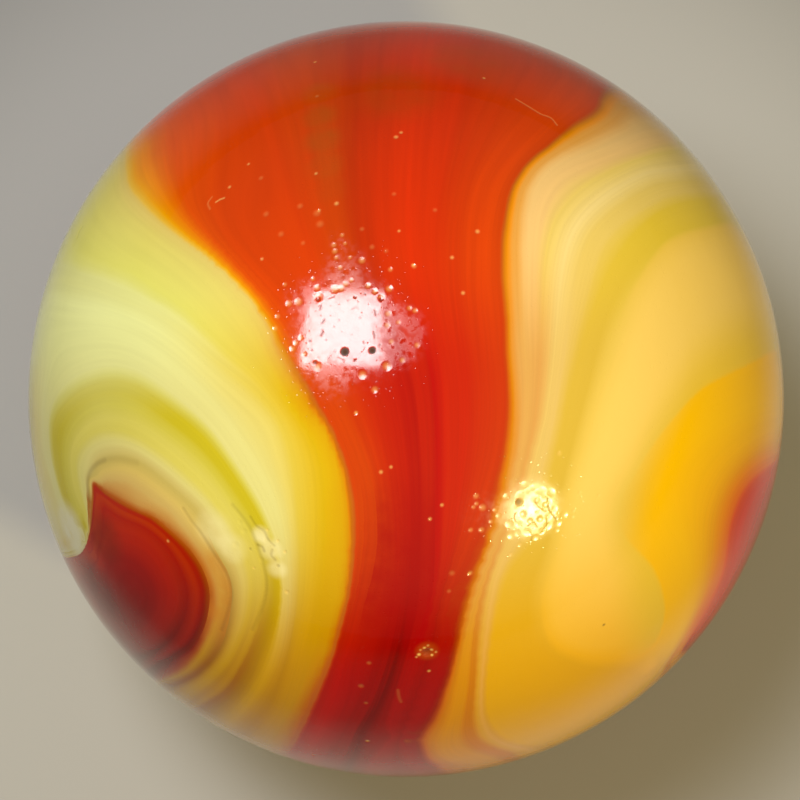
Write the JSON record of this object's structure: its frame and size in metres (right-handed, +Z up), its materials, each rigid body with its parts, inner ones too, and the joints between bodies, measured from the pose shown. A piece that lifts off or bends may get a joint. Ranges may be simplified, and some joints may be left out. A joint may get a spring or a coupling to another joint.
{
  "type": "glass marble",
  "caption": "Solid round glass playing marble, opaque, with swirled layers of orange-red, yellow and cream glass showing at its glossy, lightly pitted surface.",
  "frame": {"origin": "centre of the ball", "axes": "+Z up. The picture looks down on the ball from 15 degrees off the vertical, on its -Y side, with +X to the right. The ball itself has no marked axis, and only its colours tell the directions apart"},
  "size_m": [0.016, 0.016, 0.016],
  "materials": {
    "swirl_glass": "opaque, fire-polished gloss with fine play wear; orange-red, yellow and cream swirl"
  },
  "bodies": {
    "root": {"marble": "swirl_glass"}
  },
  "joints": []
}
